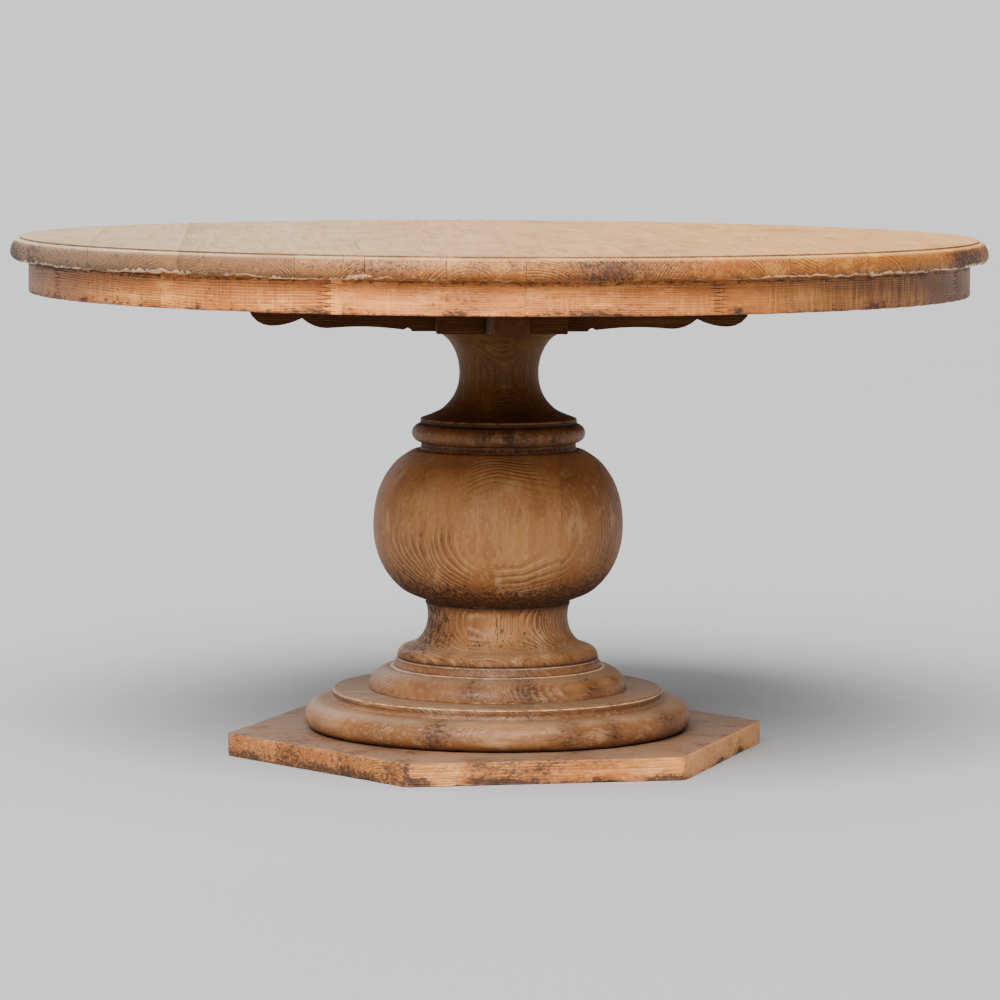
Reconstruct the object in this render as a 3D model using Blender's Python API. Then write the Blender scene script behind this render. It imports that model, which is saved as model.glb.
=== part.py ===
"""Round pedestal dining table in reclaimed timber, as the separate pieces a workshop would glue and bolt up.

Frame: +Z up, origin on the floor under the middle of the top. The top's planks run along Y and the front
is -Y.
All sizes are in metres.
"""

import math

import bmesh
import bpy
from mathutils import Matrix, Vector

# Driving dimensions
TABLE_HEIGHT = 0.780
TOP_RADIUS = 0.735
TOP_THICKNESS = 0.035
PLINTH_RADIUS = 0.415  # centre to corner of the hexagon
PLINTH_THICKNESS = 0.035
BASE_TURN = math.radians(8.7)  # how far the plinth is turned against the top
GAP = 0.0003  # between two pieces that touch

# Levels, from the top down
TOP_UNDERSIDE = TABLE_HEIGHT - TOP_THICKNESS
APRON_HEIGHT = 0.048
ARM_UNDERSIDE = 0.638
NECK_FOOT = 0.4995
COLLAR_FOOT = 0.4693
BULB_FOOT = 0.2270
SHANK_FOOT = 0.1445
OVOLO_FOOT = 0.0953
DISC_FOOT = 0.0785

# The top
PLANK_SEAMS = (-0.606, -0.474, -0.314, -0.219, -0.108, 0.0, 0.146, 0.242, 0.371, 0.490, 0.612)
MOULDING_DEPTH = 0.0145  # from the step in the upper face out to the edge's widest line
STEP_DROP = 0.0018
EDGE_LEVEL = 0.757  # height of the edge's widest line

# The apron
APRON_RADIUS = 0.7077
APRON_THICKNESS = 0.026
APRON_SEGMENTS = 16
APRON_CORNER = 0.003

# The cross under the top
ARM_LENGTH = 0.380  # centre to end
ARM_WIDTH = 0.050
HEAD_BLOCK_REACH = 0.098  # centre to a head block's outer faces

# The column
THROAT_RADIUS = 0.0603
THROAT_LEVEL = 0.575
BULB_RADIUS = 0.1895
BULB_WAIST_LEVEL = 0.344  # height of the bulb's widest line
SHANK_RADIUS = 0.1063
SHANK_LEVEL = 0.205  # height of the lower neck's narrowest line
DISC_RADIUS = 0.2505
TORUS_RADIUS = 0.2935

# The plinth's planks, measured across it from its middle
PLINTH_SEAMS = (-0.230, -0.100, 0.100, 0.230)

# Metal
ROD_RADIUS = 0.007
ROD_HOLE_RADIUS = 0.0085
NUT_ACROSS_FLATS = 0.022
NUT_HEIGHT = 0.011
WASHER_THICKNESS = 0.0025
TOP_WASHER_RADIUS = 0.0165
FOOT_WASHER_RADIUS = 0.022
NUT_RECESS = 0.020
RECESS_CLEARANCE = 0.0015
ROD_END_CLEARANCE = 0.003
SCREW_HEAD_RADIUS = 0.0045
SCREW_SHANK_RADIUS = 0.0024
SCREW_HEAD_HEIGHT = 0.0025
SCREW_POINT = 0.008
SCREW_HEAD_LEVEL = 0.705
SCREW_TIP_LEVEL = 0.768
SCREW_DISTANCES = (-0.33, -0.20, 0.20, 0.33)  # along each arm, from the middle
SEAM_STAGGER = 0.012  # keeps the front arm's screws off the seam above it
HOLE_CLEARANCE = 0.0004
CUT_MARGIN = 0.01  # how far a cutter runs past the face it enters

# Mesh detail
TOP_STEPS = 96
COLUMN_STEPS = 40
SCREW_STEPS = 8
ROD_STEPS = 16
MERGE_DISTANCE = 1e-6
SHARP_ANGLE = math.radians(35)


# Materials

def wood(name, colour, roughness):
    """A plain timber: one Principled shader with the piece's colour."""
    material = bpy.data.materials.new(name)
    material.use_nodes = True
    shader = material.node_tree.nodes["Principled BSDF"]
    shader.inputs["Base Color"].default_value = (*colour, 1)
    shader.inputs["Roughness"].default_value = roughness
    shader.inputs["Metallic"].default_value = 0
    return material


def steel(name, colour, roughness):
    material = wood(name, colour, roughness)
    material.node_tree.nodes["Principled BSDF"].inputs["Metallic"].default_value = 1
    return material


# Outlines, as lists of (radius or distance, height)

def steps(start, end, count):
    """Evenly spaced values from start to end, both included."""
    return [start + (end - start) * i / (count - 1) for i in range(count)]


def superellipse(share, power):
    """How far a quarter superellipse has fallen from 1 at a share of its reach."""
    return (1 - min(1.0, abs(share)) ** power) ** (1 / power)


def ellipse_arc(centre, half_width, half_height, start, end, count, power=2.0):
    """Points on an ellipse, or on a squarer superellipse for a power over 2, from start to end in degrees."""
    points = []
    for degrees in steps(start, end, count):
        across, up = math.cos(math.radians(degrees)), math.sin(math.radians(degrees))
        across = math.copysign(abs(across) ** (2 / power), across)
        up = math.copysign(abs(up) ** (2 / power), up)
        points.append((centre[0] + half_width * across, centre[1] + half_height * up))
    return points


def cavetto(throat, flare, reach, start, end, count, power=2.0):
    """A hollow curve round a throat (radius, level): it flares out as it leaves the throat's level."""
    radius, level = throat
    return [
        (radius + flare * (1 - superellipse((z - level) / reach, power)), z)
        for z in steps(start, end, count)
    ]


def bulge(inner_radius, reach, power, start, end, count):
    """The bulb's side: it falls in from the waist towards an inner radius at its reach."""
    depth = BULB_RADIUS - inner_radius
    return [
        (inner_radius + depth * superellipse((z - BULB_WAIST_LEVEL) / reach, power), z)
        for z in steps(start, end, count)
    ]


# Mesh tools

def finish_mesh(bm, name, material, smooth=False):
    """Turns a bmesh into a linked object with its faces pointing out."""
    bmesh.ops.remove_doubles(bm, verts=bm.verts, dist=MERGE_DISTANCE)
    bmesh.ops.recalc_face_normals(bm, faces=bm.faces)
    mesh = bpy.data.meshes.new(name)
    bm.to_mesh(mesh)
    bm.free()
    mesh.materials.append(material)
    if smooth:
        mesh.shade_smooth()
        mesh.set_sharp_from_angle(angle=SHARP_ANGLE)
    thing = bpy.data.objects.new(name, mesh)
    bpy.context.scene.collection.objects.link(thing)
    return thing


def spin_outline(outline, count, closed, angle=2 * math.pi, start=0.0):
    """Spins an outline about Z from a start angle. A closed one is a ring's section. An open one ends on
    the axis."""
    bm = bmesh.new()
    spoke = Vector((math.cos(start), math.sin(start), 0))
    verts = [bm.verts.new(spoke * radius + Vector((0, 0, level))) for radius, level in outline]
    ends = verts[1:] + verts[:1] if closed else verts[1:]
    edges = [bm.edges.new(pair) for pair in zip(verts, ends)]
    bmesh.ops.spin(bm, geom=verts + edges, cent=(0, 0, 0), axis=(0, 0, 1), angle=angle, steps=count)
    bmesh.ops.remove_doubles(bm, verts=bm.verts, dist=MERGE_DISTANCE)
    return bm


def turned(name, outline, material):
    """A turned piece bored for the tie rod. The outline runs down its outer side."""
    section = outline + [(ROD_HOLE_RADIUS, outline[-1][1]), (ROD_HOLE_RADIUS, outline[0][1])]
    finish_mesh(spin_outline(section, COLUMN_STEPS, closed=True), name, material, smooth=True)


def extruded(corners, along):
    """A solid grown from a flat face by a vector."""
    bm = bmesh.new()
    face = bm.faces.new([bm.verts.new(corner) for corner in corners])
    grown = bmesh.ops.extrude_face_region(bm, geom=[face])
    moved = [element for element in grown["geom"] if isinstance(element, bmesh.types.BMVert)]
    bmesh.ops.translate(bm, verts=moved, vec=along)
    return bm


def keep_between(bm, direction, low, high):
    """Cuts a solid down to the slice between two distances along direction, and closes the cuts."""
    for distance, outward in ((low, -direction), (high, direction)):
        whole = list(bm.verts) + list(bm.edges) + list(bm.faces)
        bmesh.ops.bisect_plane(
            bm, geom=whole, plane_co=direction * distance, plane_no=outward, clear_outer=True
        )
        rim = [edge for edge in bm.edges if edge.is_boundary]
        bmesh.ops.holes_fill(bm, edges=rim, sides=0)


def cutter_from(name, outline, count, at=(0, 0)):
    """A hidden solid of revolution, for cutting a hole at a place."""
    bm = spin_outline(outline, count, closed=False)
    bmesh.ops.translate(bm, verts=bm.verts, vec=(*at, 0))
    cutter = finish_mesh(bm, name, cutter_material)
    cutter.hide_render = True
    cutter.display_type = "WIRE"
    return cutter


def cut(pieces, cutter):
    """Takes the cutter's shape out of each piece."""
    for piece in pieces:
        boolean = piece.modifiers.new("Cut " + cutter.name, "BOOLEAN")
        boolean.operation = "DIFFERENCE"
        boolean.object = cutter


# The top

def top_outline():
    """Half section of the round top, from the middle of its upper face to the middle of its underside."""
    step_radius = TOP_RADIUS - MOULDING_DEPTH
    step_level = TABLE_HEIGHT - STEP_DROP
    lip = EDGE_LEVEL - TOP_UNDERSIDE
    upper = ellipse_arc((step_radius, EDGE_LEVEL), MOULDING_DEPTH, step_level - EDGE_LEVEL, 78, 0, 6)
    lower = ellipse_arc((TOP_RADIUS - lip, EDGE_LEVEL), lip, lip, -35, -90, 3)
    rim = [(step_radius - STEP_DROP / 2, TABLE_HEIGHT), (step_radius, step_level)]
    return [(0, TABLE_HEIGHT)] + rim + upper + lower + [(0, TOP_UNDERSIDE)]


def top_planks():
    """The round top's edge-glued planks, each the slice of the moulded disc between two seams."""
    limits = [-TOP_RADIUS - GAP, *PLANK_SEAMS, TOP_RADIUS + GAP]
    planks = []
    for i, (low, high) in enumerate(zip(limits, limits[1:]), 1):
        bm = spin_outline(top_outline(), TOP_STEPS, closed=False)
        keep_between(bm, Vector((1, 0, 0)), low + GAP / 2, high - GAP / 2)
        planks.append(finish_mesh(bm, f"top_plank_{i:02d}", top_wood, smooth=True))
    return planks


# The apron

def apron_segments():
    """Short curved blocks glued end to end into the ring under the top."""
    head, foot = TOP_UNDERSIDE - GAP, TOP_UNDERSIDE - APRON_HEIGHT
    inner = APRON_RADIUS - APRON_THICKNESS
    corner_centre = (APRON_RADIUS - APRON_CORNER, foot + APRON_CORNER)
    section = [(APRON_RADIUS, head), *ellipse_arc(corner_centre, APRON_CORNER, APRON_CORNER, 0, -90, 3)]
    section += [(inner, foot), (inner, head)]
    pitch = 2 * math.pi / APRON_SEGMENTS
    slack = GAP / APRON_RADIUS
    for i in range(APRON_SEGMENTS):
        start = i * pitch - math.pi / 2 + slack / 2
        bm = spin_outline(section, TOP_STEPS // APRON_SEGMENTS, closed=True, angle=pitch - slack, start=start)
        rim = [edge for edge in bm.edges if edge.is_boundary]
        bmesh.ops.holes_fill(bm, edges=rim, sides=0)
        finish_mesh(bm, f"apron_segment_{i + 1:02d}", apron_wood, smooth=True)


# The cross and its blocks

def scallop():
    """The shaped underside of one arm, from the flat over the column out to the rounded end."""
    wave_start, trough = (0.145, 0.6405), (0.260, 0.6424)
    cusp, lobe = (0.298, 0.6574), (0.3444, 0.6459)
    wave_hollow, rise, sweep = 0.0035, 0.0556, 0.0993
    points = [(0.1325, ARM_UNDERSIDE), (0.1345, ARM_UNDERSIDE + 0.003), (0.139, ARM_UNDERSIDE + 0.0055)]
    for share in steps(0, 1, 7)[:-1]:
        distance = wave_start[0] + (trough[0] - wave_start[0]) * share
        level = wave_start[1] + (trough[1] - wave_start[1]) * share
        points.append((distance, level + wave_hollow * math.sin(math.pi * share)))
    for distance in steps(trough[0], cusp[0], 5)[:-1]:
        points.append((distance, trough[1] + rise - math.sqrt(rise**2 - (distance - trough[0]) ** 2)))
    for distance in steps(cusp[0], lobe[0], 6)[:-1]:
        points.append((distance, lobe[1] + sweep - math.sqrt(sweep**2 - (distance - lobe[0]) ** 2)))
    nose = ARM_LENGTH - lobe[0]
    return points + ellipse_arc((lobe[0], lobe[1] + nose), nose, nose, -90, 0, 6)


def arm_outline(lapped_above):
    """Side view of a whole arm. The cross-lap joint takes its middle's upper or lower half."""
    head = TOP_UNDERSIDE - GAP
    lap = (head + ARM_UNDERSIDE) / 2
    half_lap = ARM_WIDTH / 2 + GAP
    right = scallop() + [(ARM_LENGTH, head)]
    left = [(-distance, level) for distance, level in reversed(right)]
    if lapped_above:
        bed = lap - GAP / 2
        return left + right + [(half_lap, head), (half_lap, bed), (-half_lap, bed), (-half_lap, head)]
    bed = lap + GAP / 2
    notch = [(-half_lap, ARM_UNDERSIDE), (-half_lap, bed), (half_lap, bed), (half_lap, ARM_UNDERSIDE)]
    return left + notch + right


def cross_arms():
    """The two arms, halved into each other over the column."""
    half = ARM_WIDTH / 2
    side = extruded([(x, -half, z) for x, z in arm_outline(True)], (0, ARM_WIDTH, 0))
    front = extruded([(-half, y, z) for y, z in arm_outline(False)], (ARM_WIDTH, 0, 0))
    return [
        finish_mesh(side, "cross_arm_side", under_wood),
        finish_mesh(front, "cross_arm_front", under_wood),
    ]


def head_blocks():
    """Four blocks that fill the cross's corners over the column."""
    near = ARM_WIDTH / 2 + GAP
    size = HEAD_BLOCK_REACH - near
    corners = [(near, near), (near + size, near), (near + size, near + size), (near, near + size)]
    height = TOP_UNDERSIDE - GAP - ARM_UNDERSIDE
    for quarter, name in enumerate(("back_right", "back_left", "front_left", "front_right")):
        bm = extruded([(x, y, ARM_UNDERSIDE) for x, y in corners], (0, 0, height))
        turn = Matrix.Rotation(quarter * math.pi / 2, 3, "Z")
        bmesh.ops.rotate(bm, cent=(0, 0, 0), matrix=turn, verts=bm.verts)
        finish_mesh(bm, "head_block_" + name, under_wood)


# The turned column, from the cross down to the plinth

def column_neck():
    head, foot, fillet_head, fillet_radius = ARM_UNDERSIDE - GAP, 0.5075, 0.5065, 0.1188
    head_flare, head_reach = 0.051, 0.066
    foot_flare, foot_reach, foot_power = 0.081, 0.0705, 2.2
    throat = (THROAT_RADIUS, THROAT_LEVEL)
    upper = cavetto(throat, head_flare, head_reach, head, THROAT_LEVEL, 7)
    lower = cavetto(throat, foot_flare, foot_reach, THROAT_LEVEL, foot, 8, power=foot_power)
    fillet = [(fillet_radius, fillet_head), (fillet_radius, NECK_FOOT)]
    turned("column_neck", upper + lower[1:] + fillet, column_wood)


def collar_ring():
    """A bead between two narrow necks."""
    centre, bead_radius = (0.1177, 0.4838), 0.014
    head_radius, foot_radius = 0.1165, 0.1170
    bead = ellipse_arc(centre, bead_radius, bead_radius, 78, -78, 9)
    outline = [(head_radius, NECK_FOOT - GAP), *bead, (foot_radius, COLLAR_FOOT)]
    turned("collar_ring", outline, column_wood)


def bulb():
    """The bulb under its fillet, which has a small step at its foot."""
    fillet_radius, step_radius, foot_radius = 0.1175, 0.1188, 0.1085
    fillet_foot, step_head, step_foot = 0.4612, 0.4606, 0.4585
    head, heel = 0.4575, 0.2300
    fillet = [(fillet_radius, COLLAR_FOOT - GAP), (fillet_radius, fillet_foot)]
    fillet += [(step_radius, step_head), (step_radius, step_foot)]
    upper = bulge(0.090, 0.1220, 2.15, head, BULB_WAIST_LEVEL, 9)
    lower = bulge(0.085, 0.1165, 2.10, BULB_WAIST_LEVEL, heel, 10)
    turned("bulb", fillet + upper + lower[1:] + [(foot_radius, BULB_FOOT)], column_wood)


def lower_neck():
    head, foot, foot_radius = BULB_FOOT - GAP, 0.1635, 0.1525
    head_flare, head_reach = 0.012, 0.030
    foot_flare, foot_reach = 0.040, 0.046
    flange_centre, flange_width, flange_height = (0.1345, 0.1455), 0.018, 0.0155
    throat = (SHANK_RADIUS, SHANK_LEVEL)
    upper = cavetto(throat, head_flare, head_reach, head, SHANK_LEVEL, 4)
    lower = cavetto(throat, foot_flare, foot_reach, SHANK_LEVEL, foot, 7)
    flange = ellipse_arc(flange_centre, flange_width, flange_height, 70, 0, 5)
    turned("lower_neck", upper + lower[1:] + flange + [(foot_radius, SHANK_FOOT)], column_wood)


def base_ovolo():
    """A quarter round under a sloping fillet."""
    fillet = [(0.1500, SHANK_FOOT - GAP), (0.1535, 0.1418), (0.1580, 0.1300)]
    centre, width, height, foot_radius = (0.1600, 0.0960), 0.0360, 0.0330, 0.1955
    quarter_round = ellipse_arc(centre, width, height, 88, 0, 7)
    turned("base_ovolo", fillet + quarter_round + [(foot_radius, OVOLO_FOOT)], base_wood)


def base_disc():
    """A thin disc with a worn upper corner and a slightly hollow edge."""
    head, hollow_level = OVOLO_FOOT - GAP, 0.0850
    corner_width, corner_drop = 0.003, 0.0025
    hollow, spread = 0.0015, 0.002
    edge = [(DISC_RADIUS - corner_width, head), (DISC_RADIUS, head - corner_drop)]
    edge += [(DISC_RADIUS - hollow, hollow_level), (DISC_RADIUS + spread, DISC_FOOT)]
    turned("base_disc", edge, base_wood)


def base_torus():
    foot = PLINTH_THICKNESS + GAP
    waist, shoulder, heel, squareness = 0.0535, 0.264, 0.018, 2.2
    width, height = TORUS_RADIUS - shoulder, DISC_FOOT - GAP - waist
    crown = ellipse_arc((shoulder, waist), width, height, 90, 0, 8, power=squareness)
    heel_radius = TORUS_RADIUS - heel
    under = ellipse_arc((heel_radius, foot + heel), heel, heel, 0, -80, 5)
    turned("base_torus", crown + under[1:] + [(heel_radius, foot)], base_wood)


# The plinth

def plinth_planks():
    """The hexagonal plinth's edge-glued planks, which run from corner to corner."""
    half_width = PLINTH_RADIUS * math.cos(math.pi / 6)
    limits = [-half_width - GAP, *PLINTH_SEAMS, half_width + GAP]
    angles = [BASE_TURN + k * math.pi / 3 for k in range(6)]
    corners = [(PLINTH_RADIUS * math.cos(angle), PLINTH_RADIUS * math.sin(angle), 0) for angle in angles]
    across = Vector((-math.sin(BASE_TURN), math.cos(BASE_TURN), 0))
    planks = []
    for i, (low, high) in enumerate(zip(limits, limits[1:]), 1):
        bm = extruded(corners, (0, 0, PLINTH_THICKNESS))
        keep_between(bm, across, low + GAP / 2, high - GAP / 2)
        planks.append(finish_mesh(bm, f"plinth_plank_{i}", base_wood))
    return planks


# The tie rod that clamps the cross, the column and the plinth together

def washer(name, foot, radius):
    head = foot + WASHER_THICKNESS
    section = [(radius, head), (radius, foot), (ROD_HOLE_RADIUS, foot), (ROD_HOLE_RADIUS, head)]
    finish_mesh(spin_outline(section, ROD_STEPS, closed=True), name, rod_steel, smooth=True)


def nut(name, foot):
    """A hexagon nut, as a six-sided ring that clears the rod."""
    outer = NUT_ACROSS_FLATS / 2 / math.cos(math.pi / 6)
    inner = (ROD_RADIUS + GAP) / math.cos(math.pi / 6)
    head = foot + NUT_HEIGHT
    section = [(outer, head), (outer, foot), (inner, foot), (inner, head)]
    finish_mesh(spin_outline(section, 6, closed=True), name, rod_steel)


def tie_rod(arms, middle_plank):
    """The rod, a nut and washer at each end, and the recesses that hide them."""
    ceiling = TOP_UNDERSIDE - GAP
    seat = ceiling - NUT_RECESS
    head, foot = ceiling - ROD_END_CLEARANCE, ROD_END_CLEARANCE
    rod = [(0, head), (ROD_RADIUS, head), (ROD_RADIUS, foot), (0, foot)]
    finish_mesh(spin_outline(rod, ROD_STEPS, closed=False), "tie_rod", rod_steel, smooth=True)
    washer("tie_rod_washer_top", seat + GAP, TOP_WASHER_RADIUS)
    nut("tie_rod_nut_top", seat + WASHER_THICKNESS + 2 * GAP)
    washer("tie_rod_washer_foot", NUT_RECESS - WASHER_THICKNESS - GAP, FOOT_WASHER_RADIUS)
    nut("tie_rod_nut_foot", NUT_RECESS - WASHER_THICKNESS - 2 * GAP - NUT_HEIGHT)

    recess = TOP_WASHER_RADIUS + RECESS_CLEARANCE
    upper = [(0, ceiling + CUT_MARGIN), (recess, ceiling + CUT_MARGIN), (recess, seat)]
    upper += [(ROD_HOLE_RADIUS, seat), (ROD_HOLE_RADIUS, ARM_UNDERSIDE - CUT_MARGIN)]
    upper += [(0, ARM_UNDERSIDE - CUT_MARGIN)]
    cut(arms, cutter_from("tie_rod_bore_top", upper, ROD_STEPS))

    recess = FOOT_WASHER_RADIUS + RECESS_CLEARANCE
    lower = [(0, PLINTH_THICKNESS + CUT_MARGIN), (ROD_HOLE_RADIUS, PLINTH_THICKNESS + CUT_MARGIN)]
    lower += [(ROD_HOLE_RADIUS, NUT_RECESS), (recess, NUT_RECESS), (recess, -CUT_MARGIN), (0, -CUT_MARGIN)]
    cut([middle_plank], cutter_from("tie_rod_bore_foot", lower, ROD_STEPS))


# The screws that hold the cross to the top

def screw_outline(foot, tip, head_radius, shank_radius):
    """A countersunk wood screw, head down, from its driven end up to its point."""
    shoulder = foot + SCREW_HEAD_HEIGHT
    taper = head_radius - shank_radius
    point_base = tip - SCREW_POINT
    head = [(head_radius, foot), (head_radius, shoulder)]
    shank = [(shank_radius, shoulder + taper), (shank_radius, point_base)]
    return [(0, foot), *head, *shank, (0, tip)]


def screw(name, at, pieces):
    """A screw driven up through a deep hole in an arm, and its hole in each piece it passes."""
    outline = screw_outline(SCREW_HEAD_LEVEL, SCREW_TIP_LEVEL, SCREW_HEAD_RADIUS, SCREW_SHANK_RADIUS)
    bm = spin_outline(outline, SCREW_STEPS, closed=False)
    bmesh.ops.translate(bm, verts=bm.verts, vec=(*at, 0))
    finish_mesh(bm, name, screw_steel, smooth=True)

    head, shank = SCREW_HEAD_RADIUS + HOLE_CLEARANCE, SCREW_SHANK_RADIUS + HOLE_CLEARANCE
    hole = screw_outline(SCREW_HEAD_LEVEL, SCREW_TIP_LEVEL + HOLE_CLEARANCE, head, shank)
    entry = ARM_UNDERSIDE - CUT_MARGIN
    hole[:2] = [(0, entry), (head, entry)]
    cut(pieces, cutter_from(name + "_hole", hole, SCREW_STEPS, at))


def cross_screws(planks, side, front):
    """Four screws in each arm."""
    for i, distance in enumerate(SCREW_DISTANCES, 1):
        above = next(k for k, seam in enumerate((*PLANK_SEAMS, TOP_RADIUS)) if distance < seam)
        screw(f"cross_screw_side_{i}", (distance, 0), (side, planks[above]))
        sideways = SEAM_STAGGER if i % 2 else -SEAM_STAGGER
        above = next(k for k, seam in enumerate((*PLANK_SEAMS, TOP_RADIUS)) if sideways < seam)
        screw(f"cross_screw_front_{i}", (sideways, distance), (front, planks[above]))


for old in list(bpy.data.objects):
    bpy.data.objects.remove(old)

top_wood = wood("top_wood", (0.40, 0.24, 0.13), 0.55)
apron_wood = wood("apron_wood", (0.42, 0.21, 0.09), 0.55)
under_wood = wood("under_wood", (0.16, 0.09, 0.045), 0.70)
column_wood = wood("column_wood", (0.30, 0.15, 0.07), 0.50)
base_wood = wood("base_wood", (0.36, 0.19, 0.09), 0.50)
rod_steel = steel("rod_steel", (0.55, 0.55, 0.56), 0.40)
screw_steel = steel("screw_steel", (0.30, 0.29, 0.27), 0.45)
cutter_material = wood("cutter", (1.0, 0.0, 0.0), 1.0)

top_pieces = top_planks()
apron_segments()
cross = cross_arms()
head_blocks()
column_neck()
collar_ring()
bulb()
lower_neck()
base_ovolo()
base_disc()
base_torus()
plinth_pieces = plinth_planks()
tie_rod(cross, plinth_pieces[len(plinth_pieces) // 2])
cross_screws(top_pieces, *cross)
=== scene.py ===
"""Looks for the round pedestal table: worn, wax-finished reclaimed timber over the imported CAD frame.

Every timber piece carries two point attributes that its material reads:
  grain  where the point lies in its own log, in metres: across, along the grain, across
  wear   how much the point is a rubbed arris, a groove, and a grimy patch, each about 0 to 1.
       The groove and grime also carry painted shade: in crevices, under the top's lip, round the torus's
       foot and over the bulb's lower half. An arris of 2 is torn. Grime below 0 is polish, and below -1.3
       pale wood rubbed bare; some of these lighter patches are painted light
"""

import itertools
import math

import bmesh
import bpy
import numpy as np
from mathutils import Matrix, Vector


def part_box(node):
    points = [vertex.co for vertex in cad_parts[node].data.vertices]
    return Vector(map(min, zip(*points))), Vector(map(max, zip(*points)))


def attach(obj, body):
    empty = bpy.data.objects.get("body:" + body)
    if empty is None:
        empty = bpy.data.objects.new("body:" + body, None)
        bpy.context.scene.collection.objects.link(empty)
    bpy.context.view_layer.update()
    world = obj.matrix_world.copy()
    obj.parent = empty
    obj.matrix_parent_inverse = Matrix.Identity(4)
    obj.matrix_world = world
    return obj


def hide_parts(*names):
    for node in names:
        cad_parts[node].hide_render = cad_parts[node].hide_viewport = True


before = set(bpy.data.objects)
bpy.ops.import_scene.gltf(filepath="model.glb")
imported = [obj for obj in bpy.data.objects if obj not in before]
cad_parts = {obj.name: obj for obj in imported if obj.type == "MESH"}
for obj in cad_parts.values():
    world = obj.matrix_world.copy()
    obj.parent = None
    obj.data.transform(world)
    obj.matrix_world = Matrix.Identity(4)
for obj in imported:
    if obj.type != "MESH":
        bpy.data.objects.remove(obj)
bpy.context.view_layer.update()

# Camera: the photograph's view
CAMERA_AZIMUTH = math.radians(-2.9)
CAMERA_DISTANCE = 7.275
CAMERA_HEIGHT = 1.0558
CAMERA_SIDEWAYS = 0.0027
CAMERA_PITCH = 0.0925
CAMERA_ROLL = 0.0051
LENS = 173.5
SENSOR = 36.0

# Timber layout, as in the CAD model
MM = 0.001
BASE_TURN = math.radians(8.7)
TOP_RADIUS = 0.735
BORE = 12 * MM                  # radius of the hole down the turned pieces
TORUS_SEAT = (0.20, 0.36)       # the plinth's ring of radii that the torus stands on
APRON_SEGMENTS = 16
FINGERS = 9
FINGER_LENGTH = 13 * MM

# Mesh detail
TOP_STEPS = 1440
TURNED_STEPS = 560
PLINTH_STEPS = 960
APRON_STEPS = 120
OUTLINE_STEP = 1.8 * MM
SHARP_ANGLE = math.radians(38)
CORNER_DEGREES = 32             # an outline that turns more than this has a corner there
SEAM_EASE = 0.1 * MM
PLANK_GAP = 0.13 * MM
CUT_EASE = 1.2 * MM             # the bevel on sawn pieces

# Staining
DARKER_SIDE = math.radians(210)  # the plinth's face that is darker, from its corner at BASE_TURN
# The plinth's face painted lighter, as painted light, from its corner at BASE_TURN
PAINTED_LIT_SIDE = math.radians(-30)
TORN_SIDE = np.array([-0.72, -0.69, 0])  # the way to the most torn stretch of the top's lip
DARK_SEGMENTS = {2: 0.10, 3: 0.15, 4: 0.25, 8: 0.3, 12: 0.30, 13: 0.15}  # apron blocks made darker: partly stain, and on the blocks at the right end painted shade
PALE_END = math.radians(-21.8)  # a pale patch at the end of the last apron block, from the front
PALE_EDGES = 0.022, 0.010       # how far from there it starts and is full, in radians


# Noise and small helpers

# Large odd numbers that scatter a cell's coordinates over 32 bits
HASH_CELL = np.array([374761393, 668265263, 1440662683])
HASH_SEED = 974634777
HASH_MIX = 1274126177


def lattice(cell, seed):
    """A repeatable random number in -1..1 for each whole-number cell."""
    mixed = (np.asarray(cell) * HASH_CELL).sum(axis=-1) + seed * HASH_SEED
    mixed = (mixed ^ (mixed >> 13)) * HASH_MIX & 0xFFFFFFFF
    return ((mixed ^ (mixed >> 16)) & 0xFFFF) / 32767.5 - 1


def noise(points, frequency, seed=0):
    """Smooth noise in -1..1 at points in metres. The frequency is in bumps per metre."""
    at = np.asarray(points) * float(frequency)
    cell = np.floor(at).astype(np.int64)
    share = at - cell
    share = share * share * (3 - 2 * share)
    total = np.zeros(at.shape[:-1])
    for corner in itertools.product((0, 1), repeat=3):
        weight = np.prod(np.where(corner, share, 1 - share), axis=-1)
        total += weight * lattice(cell + np.array(corner), seed)
    return total


def band(value, low, high):
    """0 at low, 1 at high and smooth between. High may be below low."""
    share = np.clip((value - low) / (high - low), 0, 1)
    return share * share * (3 - 2 * share)


def hump(value, width):
    """1 where the value is 0, falling away smoothly within about the width."""
    return np.exp(-(value / width) ** 2)


def columns(*parts):
    return np.stack(parts, axis=-1)


# Outlines

TURNED = ("column_neck", "collar_ring", "bulb", "lower_neck", "base_ovolo", "base_disc", "base_torus")
PLINTH_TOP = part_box("plinth_plank_1")[1][2]


def cad_section(node):
    """The outer outline of a turned CAD node, from its top down, as rows of (radius, height)."""
    points = {
        (round(vert.co.x, 5), round(vert.co.z, 5))
        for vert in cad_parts[node].data.vertices
        if abs(vert.co.y) < 1e-5 and vert.co.x > BORE
    }
    return np.array(sorted(points, key=lambda point: -point[1]))


def catmull_rom(points, spacing):
    """A smooth curve through points, sampled about every spacing."""
    padded = np.vstack([2 * points[0] - points[1], points, 2 * points[-1] - points[-2]])
    parts = []
    for before, start, end, after in zip(padded, padded[1:], padded[2:], padded[3:]):
        count = max(2, int(np.linalg.norm(end - start) / spacing) + 1)
        share = np.linspace(0, 1, count, endpoint=False)[:, None]
        curve = 2 * start + (end - before) * share + (2 * before - 5 * start + 4 * end - after) * share**2
        parts.append((curve + (3 * start - before - 3 * end + after) * share**3) / 2)
    return np.vstack(parts + [points[-1:]])


def fine_outline(points, spacing):
    """The outline with its curves filled in and its corners kept."""
    steps = np.diff(points, axis=0)
    heading = np.degrees(np.unwrap(np.arctan2(steps[:, 1], steps[:, 0])))
    bends = np.abs(np.diff(heading)) > CORNER_DEGREES
    corners = [0, *(np.flatnonzero(bends) + 1), len(points) - 1]
    runs = [catmull_rom(points[a:b + 1], spacing) for a, b in zip(corners, corners[1:])]
    return np.vstack([run[:-1] for run in runs] + [points[-1:]])


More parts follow.
